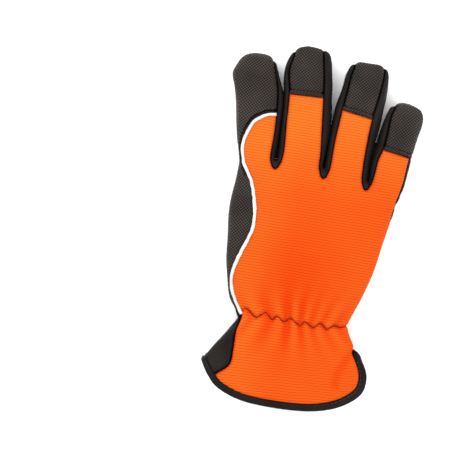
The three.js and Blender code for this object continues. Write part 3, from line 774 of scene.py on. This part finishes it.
def sew(
    name, take, leave, replaced, material,
    relief=None, thicker=0.0, finer=None, shade=None,
):
    """Cuts a panel, turns its edges down into the seams, gives it a wall and puts it in place of its node."""
    obj, bm = cut_panel(name, take, leave)
    if finer:
        fine = dict(zip(bm.verts, finer(coordinates(bm))))
        edges = [e for e in bm.edges if all(fine[v] for v in e.verts)]
        bmesh.ops.subdivide_edges(bm, edges=edges, cuts=2, use_grid_fill=True)
        bmesh.ops.triangulate(bm, faces=bm.faces)
    points = coordinates(bm)
    distance = edge_distance(bm)
    depth, width = millimetres("seam_depth"), millimetres("seam_width")
    height = 0.3 * hump(distance - 2.6 * width, 1.3 * width) - depth * hump(distance, 0.75 * width)
    if relief:
        height = height + relief(points)
    resting = ramp((points[:, 2] - 0.2) / 1.5)
    move(bm, points + outward_at(points) * (height * resting)[:, None])
    # How far a seam sinks, used as painted shade in the seam valleys
    sunk = np.clip(-(height - np.median(height)) / depth, 0, 1)
    # Painted shade, stored in the fold attribute for the materials to darken the colour
    depths = fold_shade_at(points) + sunk + (shade(points) if shade else 0)
    fold = bm.verts.layers.float.new("fold")
    for vertex, value in zip(bm.verts, np.clip(depths, -1, 1)):
        vertex[fold] = value
    thicken(bm, millimetres("wall") + thicker)
    finish(obj, bm, [material, lining()])
    settle(obj, replaced)


def unwrap(bm):
    """Millimetre UVs that follow the surface: from above, or from the side where it is steep."""
    uv = bm.loops.layers.uv.new("cloth")
    for face in bm.faces:
        n = face.normal
        for corner in face.loops:
            x, y, z = corner.vert.co
            if abs(n.z) > 0.62:
                corner[uv].uv = (x, y)
            elif abs(n.x) > abs(n.y):
                corner[uv].uv = (z, y)
            else:
                corner[uv].uv = (x, z + 0.5)


def finish(obj, bm, materials):
    """Gives a bmesh in millimetres its UVs and materials, and puts it into an object in metres."""
    unwrap(bm)
    shift = Matrix.Translation((-PLAN_CENTRE[0], -PLAN_CENTRE[1], 0))
    bmesh.ops.transform(bm, matrix=Matrix.Scale(0.001, 4) @ shift, verts=bm.verts)
    for face in bm.faces:
        face.smooth = True
    bm.to_mesh(obj.data)
    bm.free()
    obj.data.materials.clear()
    for material in materials:
        obj.data.materials.append(material)


def settle(obj, replaced):
    """Puts a piece in place of its CAD node, if it has one, and on the body."""
    if replaced:
        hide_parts(replaced)
    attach(obj, "root")
    count = sum(len(p.vertices) - 2 for p in obj.data.polygons)
    print(f"{obj.name}: {count} triangles")


def new_piece(name, bm, material, replaced=None):
    """A piece of its own from a bmesh in millimetres."""
    obj = bpy.data.objects.new(name, bpy.data.meshes.new(name))
    bpy.context.scene.collection.objects.link(obj)
    finish(obj, bm, [material])
    settle(obj, replaced)


def on_top(points, lift=0.0, side=1):
    """Points in plan dropped on the top of the form, or raised to its underside."""
    surface = glove_form()[3]
    result = []
    for x, y in points:
        hit = surface.ray_cast(Vector((x, y, 100 * side)), Vector((0, 0, -side)))[0]
        if hit is None:
            raise RuntimeError(f"no cloth under {x:.1f}, {y:.1f}")
        result.append((x, y, hit.z + lift * side))
    return np.array(result)


def cord(path, radius, sides=12):
    """A round cord along a path, with shut ends; the radius may change along it."""
    along = unit(np.gradient(path, axis=0))
    across = unit(np.cross(along, (0, 0, 1)))
    up = np.cross(across, along)
    radius = np.broadcast_to(radius, len(path))[:, None]

    def place(u, row):
        angle = 2 * math.pi * u[:, None]
        return path[row] + radius[row] * (np.cos(angle) * across[row] + np.sin(angle) * up[row])

    return tube(sides, len(path), place)


def add_stitches(bm, path, pitch, radius=0.34):
    """A row of stitches: each lies along the path and dips into the cloth at its ends."""
    reach = np.concatenate([[0], np.cumsum(np.linalg.norm(np.diff(path, axis=0), axis=1))])
    middles = np.arange(pitch / 2, reach[-1], pitch)
    back, middle, ahead = (
        np.stack([np.interp(middles + step, reach, column) for column in path.T], axis=1)
        for step in (-0.3, 0, 0.3)
    )
    for point, direction in zip(middle, ahead - back):
        turn = Vector(direction).to_track_quat("X", "Z").to_matrix().to_4x4()
        place = Matrix.Translation(point) @ turn @ Matrix.Diagonal((pitch * 0.39, radius, radius, 1))
        bmesh.ops.create_icosphere(bm, subdivisions=2, radius=1, matrix=place)


# ---------------------------------------------------------------- materials


def node(tree, kind, inputs=None, **settings):
    """Adds a node with its settings, input values and links."""
    result = tree.nodes.new(kind)
    for name, value in settings.items():
        setattr(result, name, value)
    for name, value in (inputs or {}).items():
        socket = result.inputs[name]
        if isinstance(value, bpy.types.NodeSocket):
            tree.links.new(value, socket)
        else:
            socket.default_value = value
    return result


def maths(tree, operation, a, b=0.0, c=0.0, **settings):
    return node(tree, "ShaderNodeMath", {0: a, 1: b, 2: c}, operation=operation, **settings).outputs[0]


def ranged(tree, value, low, high, start, end):
    """A value that goes from start to end while another goes from low to high."""
    return node(tree, "ShaderNodeMapRange", {0: value, 1: low, 2: high, 3: start, 4: end}).outputs[0]


def blend(tree, share, a, b, kind="MIX"):
    """A mix or product of two colours."""
    return node(tree, "ShaderNodeMix", {0: share, 6: a, 7: b}, data_type="RGBA", blend_type=kind).outputs[2]


def speckle(tree, scale, detail):
    """Noise in the object's own coordinates."""
    place = node(tree, "ShaderNodeTexCoord").outputs["Object"]
    return node(tree, "ShaderNodeTexNoise", {"Vector": place, "Scale": scale, "Detail": detail}).outputs[0]


def wave(tree, value, pitch):
    """1 on the ribs and 0 in the grooves of a pattern with a pitch in the units of the value."""
    turned = maths(tree, "MULTIPLY", value, math.pi / pitch)
    return maths(tree, "ABSOLUTE", maths(tree, "SINE", turned))


def cloth_place(tree):
    """Millimetres across and along the cloth, and the painted shade of its folds, seams and grooves."""
    uv = node(tree, "ShaderNodeUVMap", uv_map="cloth")
    part = node(tree, "ShaderNodeSeparateXYZ", {0: uv.outputs[0]})
    return part.outputs[0], part.outputs[1], node(tree, "ShaderNodeAttribute", attribute_name="fold").outputs[2]


def new_material(name):
    material = bpy.data.materials.new(name)
    material.use_nodes = True
    return material, material.node_tree, material.node_tree.nodes["Principled BSDF"]


def colour(name):
    return (*getattr(bpy.context.scene.glove_colours, name), 1)


def dress(tree, shader, base, tint, values):
    """Gives a shader its colour times a tint, and its other values or sockets."""
    values = {"Base Color": blend(tree, 1.0, base, tint, "MULTIPLY"), **values}
    for name, value in values.items():
        if isinstance(value, bpy.types.NodeSocket):
            tree.links.new(value, shader.inputs[name])
        else:
            shader.inputs[name].default_value = value


def bump(tree, height, depth, strength):
    values = {"Height": height, "Distance": depth, "Strength": strength}
    return node(tree, "ShaderNodeBump", values).outputs[0]


@functools.cache
def rib_knit():
    """Polyester rib knit, dyed high-visibility orange: matt ridges with painted shade in the grooves, a fuzzy
    sheen, painted sheen over the fingers and painted shade in the folds.
    """
    material, tree, shader = new_material("polyester_rib_knit")
    across, along, fold = cloth_place(tree)
    spot = node(tree, "ShaderNodeSeparateXYZ", {0: node(tree, "ShaderNodeTexCoord").outputs["Object"]})
    # The ribs run across the hand, and the cuff's run a little uphill to the little finger
    uphill = maths(tree, "MULTIPLY", across, ranged(tree, along, -60.0, -95.0, 0.0, -0.06))
    drift = maths(tree, "MULTIPLY", speckle(tree, 40.0, 1.0), 1.6)
    bent = maths(tree, "ADD", maths(tree, "ADD", along, uphill), drift)
    rib = wave(tree, bent, millimetres("rib_pitch"))
    # Knit loops stand side by side on each rib, 0.9 mm apart
    loops = wave(tree, across, 0.9)
    # Painted shade: the colour is darker in the grooves between the ribs
    groove = ranged(tree, rib, 0.1, 0.75, 0.68, 1.05)
    # Over the fingers and on the thumb's side the knit is painted lighter, as painted sheen, and it is mottled
    # at random
    sheen_on_fingers = ranged(tree, spot.outputs[1], 0.02, 0.085, 0.0, 0.9)
    sheen_at_side = ranged(tree, spot.outputs[0], -0.01, -0.03, 0.0, 0.36)
    light = maths(tree, "MULTIPLY_ADD", speckle(tree, 22.0, 3.0), 0.35, sheen_at_side)
    share = maths(tree, "ADD", sheen_on_fingers, light, use_clamp=True)
    mottled_and_sheened = blend(tree, share, colour("knit"), colour("knit_mottle_and_sheen"))
    # In the folds, creases and the middle of the back the knit is painted a deeper orange, as painted shade
    base = blend(tree, ranged(tree, fold, -0.25, 0.75, 0.0, 0.9), mottled_and_sheened, colour("knit_fold_shade"))
    height = maths(tree, "ADD", rib, maths(tree, "MULTIPLY", loops, 0.25))
    dress(tree, shader, base, groove, {
        "Normal": bump(tree, height, 0.00025, 0.6),
        "Roughness": 0.85,
        "Specular IOR Level": 0.04,
        "Sheen Weight": 0.12,
        "Sheen Roughness": 0.5,
        "Sheen Tint": (1.0, 0.4, 0.1, 1),
    })
    return material


def grained(name, tone, depth, gloss, shine, diamond_light_contrast):
    """Leather with pressed diamonds, painted lighter on their raised parts as painted highlight, with random
    wear, and drawn smooth with painted shade in seams and folded strips.
    """
    material, tree, shader = new_material(name)
    across, along, fold = cloth_place(tree)
    # Drawn coarser than the real 1.5 mm, so that the diamonds show from a distance
    pitch = millimetres("emboss_pitch") * EMBOSS_ENLARGED
    rising = wave(tree, maths(tree, "ADD", across, along), pitch)
    falling = wave(tree, maths(tree, "SUBTRACT", across, along), pitch)
    crossing = maths(tree, "MULTIPLY", rising, falling)
    # Folded strips and seams are drawn smooth and darker: painted shade in the seams, grooves and folds, and
    # whatever shade a panel adds
    flat = ranged(tree, fold, 0.3, 0.45, 1.0, 0.0)
    diamonds = node(tree, "ShaderNodeMix", {0: flat, 2: 0.35, 3: crossing}, data_type="FLOAT").outputs[0]
    painted_shade_factor = ranged(tree, fold, 0.15, 0.8, 1.0, 0.12)
    worn = speckle(tree, 35.0, 4.0)
    wear_and_shade = maths(tree, "MULTIPLY", ranged(tree, worn, 0.3, 0.75, 0.5, 1.6), painted_shade_factor)
    # Painted highlight and shade: the diamonds' raised parts are lighter and their hollows darker
    lit = ranged(tree, diamonds, 0.05, 0.75, 1 - diamond_light_contrast, 1 + 2 * diamond_light_contrast)
    shiny = ranged(tree, diamonds, 0.0, 0.8, shine * (1 - diamond_light_contrast), shine * (1 + diamond_light_contrast))
    height = maths(tree, "ADD", diamonds, maths(tree, "MULTIPLY", speckle(tree, 900.0, 2.0), 0.3))
    dress(tree, shader, colour(tone), maths(tree, "MULTIPLY", wear_and_shade, lit), {
        "Normal": bump(tree, height, depth, 0.7),
        "Roughness": ranged(tree, worn, 0.3, 0.7, gloss + 0.1, gloss - 0.05),
        "Specular IOR Level": maths(tree, "MULTIPLY", shiny, painted_shade_factor),
    })
    return material


@functools.cache
def embossed_leather():
    """Polyurethane leather with pressed diamonds: black, with a broad sheen that the diamonds break up, and
    painted highlights on the diamonds.
    """
    return grained("embossed_polyurethane_leather", "leather", 0.00025, 0.5, 0.13, 0.75)


@functools.cache
def side_leather_shaded():
    """Leather between the fingers, a darker copy of the palm leather as painted shade: softer, duller and more
    shallowly pressed.
    """
    return grained("shaded_fourchette_leather", "side_leather_shaded", 0.00008, 0.6, 0.1, 0.2)


@functools.cache
def binding_tape():
    """Folded polyurethane tape: smoother and blacker than the leather, with a narrow sheen along its fold."""
    return grained("polyurethane_binding_tape", "binding", 0.00006, 0.42, 0.09, 0.15)


@functools.cache
def reflective_tape():
    """Glass-bead reflective tape: white and satin, with a fine grain of beads."""
    material, tree, shader = new_material("glass_bead_reflective_tape")
    dress(tree, shader, colour("piping"), ranged(tree, speckle(tree, 60.0, 3.0), 0.3, 0.8, 1.0, 0.82), {
        "Normal": bump(tree, speckle(tree, 700.0, 2.0), 0.00008, 0.5),
        "Roughness": 0.38,
    })
    return material


@functools.cache
def lining():
    """Brushed polyester lining: dark, matt and fuzzy."""
    material, tree, shader = new_material("brushed_polyester_lining")
    fuzz = speckle(tree, 420.0, 3.0)
    dress(tree, shader, colour("lining"), ranged(tree, fuzz, 0.3, 0.7, 0.6, 1.2), {
        "Normal": bump(tree, fuzz, 0.0006, 0.8),
        "Roughness": 0.95,
        "Sheen Weight": 0.4,
    })
    return material


def thread(name, tone):
    """Twisted polyester thread: two plies that catch the light in turn."""
    material, tree, shader = new_material(name)
    place = node(tree, "ShaderNodeTexCoord").outputs["Object"]
    ply = node(
        tree, "ShaderNodeTexWave", {"Vector": place, "Scale": 800.0, "Distortion": 1.0},
        bands_direction="DIAGONAL",
    )
    dress(tree, shader, colour(tone), ranged(tree, ply.outputs[1], 0.0, 1.0, 0.7, 1.2), {
        "Roughness": 0.55,
        "Specular IOR Level": 0.12,
    })
    return material


# ---------------------------------------------------------------- operators


class GLOVE_OT_back(bpy.types.Operator):
    """Sew the knit back of the hand and cuff"""

    bl_idname = "glove.back"
    bl_label = "Knit Back"

    def execute(self, context):
        leave = [*fourchette_spaces(), *under_hand(), hem_space(-HEM_OVERLAP)]
        sew("knit_back", [knit_space()], leave, "back_panel", rib_knit())
        return {"FINISHED"}


def beside_piping(points, strip, groove):
    """Values of the folded strip along the piping at the index finger, and of the groove beside it."""
    width = millimetres("strip_width")
    tree = tree_of(on_top(smooth_line(PIPING_LINE, 1.0)))
    distance = np.array([tree.find(point)[2] for point in points])
    profile = strip * ramp((width - distance) / 0.6) + groove * hump(distance - width, 0.7)
    return profile * over_seams(points) * ramp((points[:, 1] - 28) / 6)


def near_piping(points):
    """Where the palm needs a finer mesh for the strip along the piping."""
    return (plan_distance(points, PIPING_LINE) < 6) & (points[:, 1] > 26) & (points[:, 2] > 16)


class GLOVE_OT_palm(bpy.types.Operator):
    """Sew the leather palm, which wraps round the index finger"""

    bl_idname = "glove.palm"
    bl_label = "Leather Palm"

    def execute(self, context):
        leave = [*fourchette_spaces(), *under_hand(), hem_space(-HEM_OVERLAP), knit_space()]
        leave += [cap_space(span) for span in CAP_SPANS.values()]
        # The shade paints shade in the groove beside the piping, paints the strip beside it darker, and paints
        # the palm darker past the wrist
        sew(
            "leather_palm", [], leave, "palm_panel", embossed_leather(), finer=near_piping,
            relief=lambda points: beside_piping(points, 0.5, -0.8),
            shade=lambda points: beside_piping(points, 0.5, 0.8) + 0.4 * ramp((points[:, 1] + 55) / -8),
        )
        return {"FINISHED"}


class GLOVE_OT_fourchettes(bpy.types.Operator):
    """Sew the leather side walls between the fingers"""

    bl_idname = "glove.fourchettes"
    bl_label = "Fourchettes"

    def execute(self, context):
        for name in FOURCHETTES:
            take = [fourchette_space(name)]
            sew(f"leather_{name}", take, under_hand(), f"fourchette_{name}", side_leather_shaded())
        return {"FINISHED"}


def cap_edge(row, x):
    """Where the knit ends and a tip cap starts."""
    left, right = KNIT_TOPS["left"][row], KNIT_TOPS["right"][row]
    low, high = KNIT_TOPS["left_y"][row], KNIT_TOPS["right_y"][row]
    return low + (high - low) * (x - left) / (right - left)


def cap_relief(row):
    """The folded strip at the base of a tip cap."""

    def relief(points):
        width = millimetres("strip_width")
        inside = points[:, 1] - cap_edge(row, points[:, 0])
        return 0.5 * ramp((width - inside) / 0.5) - 0.7 * hump(inside - width, 0.6)

    return relief


class GLOVE_OT_caps(bpy.types.Operator):
    """Sew the leather caps on three fingertips"""

    bl_idname = "glove.caps"
    bl_label = "Tip Caps"

    def execute(self, context):
        for name, span in CAP_SPANS.items():
            leave = [*fourchette_spaces(), knit_space()]
            sew(
                f"leather_tip_{name}", [cap_space(span)], leave, f"tip_cap_{name}", embossed_leather(),
                relief=cap_relief(span["row"]),
                finer=lambda points: points[:, 1] - cap_edge(span["row"], points[:, 0]) < 6,
            )
        return {"FINISHED"}


class GLOVE_OT_thumb(bpy.types.Operator):
    """Sew the thumb, folded under the palm"""

    bl_idname = "glove.thumb"
    bl_label = "Thumb"

    def execute(self, context):
        sew("knit_thumb", [oval_space()], [], "thumb_back", rib_knit())
        sew("leather_thumb", [thumb_space()], [oval_space()], "thumb_front", embossed_leather())
        return {"FINISHED"}


# Roll of the binding round the rim: its radius, and how far its middle lies back and in from the rim
HEM_ROLL = {"radius": 1.9, "back": 1.5, "inwards": 1.1, "taper": 0.45}


def hem_rim(count):
    """Points of the cuff's rim, and the directions out of the cloth and back over it."""
    surface = glove_form()[3]
    share, side = around_ring(np.arange(count) / count)
    rim = np.array([surface.find_nearest(p)[0] for p in cuff_point(share, side)])
    along = np.roll(rim, -2, axis=0) - np.roll(rim, 2, axis=0)
    outward = outward_at(rim)
    back = np.cross(outward, along)
    back *= np.sign(np.sum(back * (cuff_point(share, side, back=3.0) - rim), axis=1))[:, None]
    for _ in range(6):
        back = unit(back)
        back = (np.roll(back, 1, axis=0) + 2 * back + np.roll(back, -1, axis=0)) / 4
    slim = 1 - HEM_ROLL["taper"] * ramp((share - 0.92) / 0.08)
    return rim, outward, unit(back), slim[:, None]


class GLOVE_OT_binding(bpy.types.Operator):
    """Fold the binding round the hem of the cuff"""

    bl_idname = "glove.binding"
    bl_label = "Hem Binding"

    def execute(self, context):
        swell = millimetres("binding_swell")
        sew(
            "hem_binding", [hem_space()], [], "cuff_binding", binding_tape(),
            relief=lambda points: np.full(len(points), swell), thicker=1.4,
        )
        rim, outward, back, slim = hem_rim(320)
        middle = rim + (back * HEM_ROLL["back"] - outward * HEM_ROLL["inwards"]) * slim

        def place(u, row):
            i = np.rint(u * len(rim)).astype(int) % len(rim)
            angle = (2 * math.pi * row / 14)[:, None]
            spoke = np.cos(angle) * outward[i] + np.sin(angle) * back[i]
            points = middle[i] + HEM_ROLL["radius"] * slim[i] * spoke
            points[:, 2] = np.maximum(points[:, 2], 0.02)
            return points

        new_piece("hem_roll", tube(len(rim), 15, place, shut=False), binding_tape())
        stitches = bmesh.new()
        line = hem_edge(-1.3)[2:-2]
        pitch = millimetres("stitch_pitch")
        add_stitches(stitches, on_top(line, swell - 0.1), pitch)
        add_stitches(stitches, on_top(line, 0.2, -1), pitch)
        new_piece("hem_stitches", stitches, thread("hem_thread", "thread"))
        return {"FINISHED"}


class GLOVE_OT_piping(bpy.types.Operator):
    """Lay the reflective piping in the seam of the back"""

    bl_idname = "glove.piping"
    bl_label = "Reflective Piping"

    def execute(self, context):
        path = on_top(smooth_line(PIPING_LINE, 1.2), 0.35)
        for _ in range(3):
            path[1:-1, 2] = (path[:-2, 2] + 2 * path[1:-1, 2] + path[2:, 2]) / 4
        path[:, 0] += 0.35 * np.array([noise.noise(Vector(point) / 3) for point in path])
        uneven = np.array([noise.noise(Vector(point) / 4.5) for point in path])
        bm = cord(path, millimetres("piping_radius") * (1 + 0.22 * uneven))
        new_piece("piping", bm, reflective_tape(), "reflective_piping")
        return {"FINISHED"}


class GLOVE_OT_stitching(bpy.types.Operator):
    """Sew the topstitching and the thread over the wrist elastic"""

    bl_idname = "glove.stitching"
    bl_label = "Stitching"

    def execute(self, context):
        pitch = millimetres("stitch_pitch") * 0.8
        stitches = bmesh.new()
        for span in CAP_SPANS.values():
            x = np.linspace(*span["stitched"], 40)
            for inside in (0.8, 2.4):
                path = np.stack([x, cap_edge(span["row"], x) + inside], axis=1)
                add_stitches(stitches, on_top(path, 0.45), pitch, 0.28)
        line = smooth_line(PIPING_LINE, 1.0)
        along = unit(np.gradient(line, axis=0))
        outside = line + 2.3 * np.stack([along[:, 1], -along[:, 0]], axis=1)
        outside = outside[(line[:, 1] > 34) & (line[:, 0] < -30)]
        add_stitches(stitches, on_top(outside, 0.2), pitch, 0.28)
        new_piece("leather_stitches", stitches, thread("leather_thread", "thread"))
        zigzag = cord(on_top(smooth_line(GATHER_LINE, 0.9), -0.1), 0.36, 8)
        new_piece("gather_thread", zigzag, thread("elastic_thread", "gather_thread"))
        return {"FINISHED"}


# Camera straight above, turned so that the glove leans as it lies
CAMERA = {"x": -0.0556, "y": -0.0073, "height": 1.4, "turn": 9.0, "width": 0.3119, "plane": 0.02}


class GLOVE_OT_stage(bpy.types.Operator):
    """Set the floor, the soft light and the camera"""

    bl_idname = "glove.stage"
    bl_label = "Stage"

    def execute(self, context):
        scene = context.scene
        bm = bmesh.new()
        bmesh.ops.create_grid(bm, x_segments=1, y_segments=1, size=3)
        mesh = bpy.data.meshes.new("floor")
        bm.to_mesh(mesh)
        bm.free()
        floor = bpy.data.objects.new("floor", mesh)
        scene.collection.objects.link(floor)
        material, tree, shader = new_material("matt_white_paper")
        grain = node(tree, "ShaderNodeTexNoise", {"Scale": 40.0, "Detail": 2.0}).outputs[0]
        tree.links.new(ranged(tree, grain, 0.0, 1.0, 0.96, 0.98), shader.inputs["Base Color"])
        shader.inputs["Roughness"].default_value = 0.9
        mesh.materials.append(material)

        world = bpy.data.worlds.new("soft_room")
        world.use_nodes = True
        room = world.node_tree.nodes["Background"].inputs
        room["Color"].default_value = (1, 1, 1, 1)
        room["Strength"].default_value = 1.55
        scene.world = world
        for name, place, size, power in (
            ("key", (-0.65, 0.5, 0.95), 0.8, 8.0),
            ("fill", (0.8, -0.2, 0.9), 0.9, 5.0),
        ):
            data = bpy.data.lights.new(name, "AREA")
            data.size = size
            data.energy = power
            light = bpy.data.objects.new(name, data)
            light.location = place
            light.rotation_euler = (-Vector(place)).to_track_quat("-Z", "Y").to_euler()
            scene.collection.objects.link(light)

        data = bpy.data.cameras.new("camera")
        data.lens = data.sensor_width * (CAMERA["height"] - CAMERA["plane"]) / CAMERA["width"]
        camera = bpy.data.objects.new("camera", data)
        camera.location = (CAMERA["x"], CAMERA["y"], CAMERA["height"])
        camera.rotation_euler = (0, 0, math.radians(CAMERA["turn"]))
        scene.collection.objects.link(camera)
        scene.camera = camera
        scene.view_settings.view_transform = "Standard"
        return {"FINISHED"}


OPERATORS = (
    GLOVE_OT_back, GLOVE_OT_palm, GLOVE_OT_fourchettes, GLOVE_OT_caps, GLOVE_OT_thumb, GLOVE_OT_binding,
    GLOVE_OT_piping, GLOVE_OT_stitching, GLOVE_OT_stage,
)


class GLOVE_PT_panel(bpy.types.Panel):
    """Sizes, colours and pieces of the glove"""

    bl_idname = "GLOVE_PT_panel"
    bl_label = "Winter Glove"
    bl_space_type = "VIEW_3D"
    bl_region_type = "UI"
    bl_category = "Glove"

    def draw(self, context):
        column = self.layout.column()
        for group in (context.scene.glove_sizes, context.scene.glove_colours):
            for name in group.__annotations__:
                column.prop(group, name)
        for operator in OPERATORS:
            column.operator(operator.bl_idname)


def register():
    for item in (GloveSizes, GloveColours, *OPERATORS, GLOVE_PT_panel):
        bpy.utils.register_class(item)
    bpy.types.Scene.glove_sizes = PointerProperty(type=GloveSizes)
    bpy.types.Scene.glove_colours = PointerProperty(type=GloveColours)


def unregister():
    del bpy.types.Scene.glove_sizes
    del bpy.types.Scene.glove_colours
    for item in (GLOVE_PT_panel, *reversed(OPERATORS), GloveColours, GloveSizes):
        bpy.utils.unregister_class(item)


def main():
    register()
    bpy.ops.glove.back()
    bpy.ops.glove.palm()
    bpy.ops.glove.fourchettes()
    bpy.ops.glove.caps()
    bpy.ops.glove.thumb()
    bpy.ops.glove.binding()
    bpy.ops.glove.piping()
    bpy.ops.glove.stitching()
    bpy.ops.glove.stage()
    bpy.data.objects.remove(glove_form()[0])


if __name__ == "__main__":
    main()
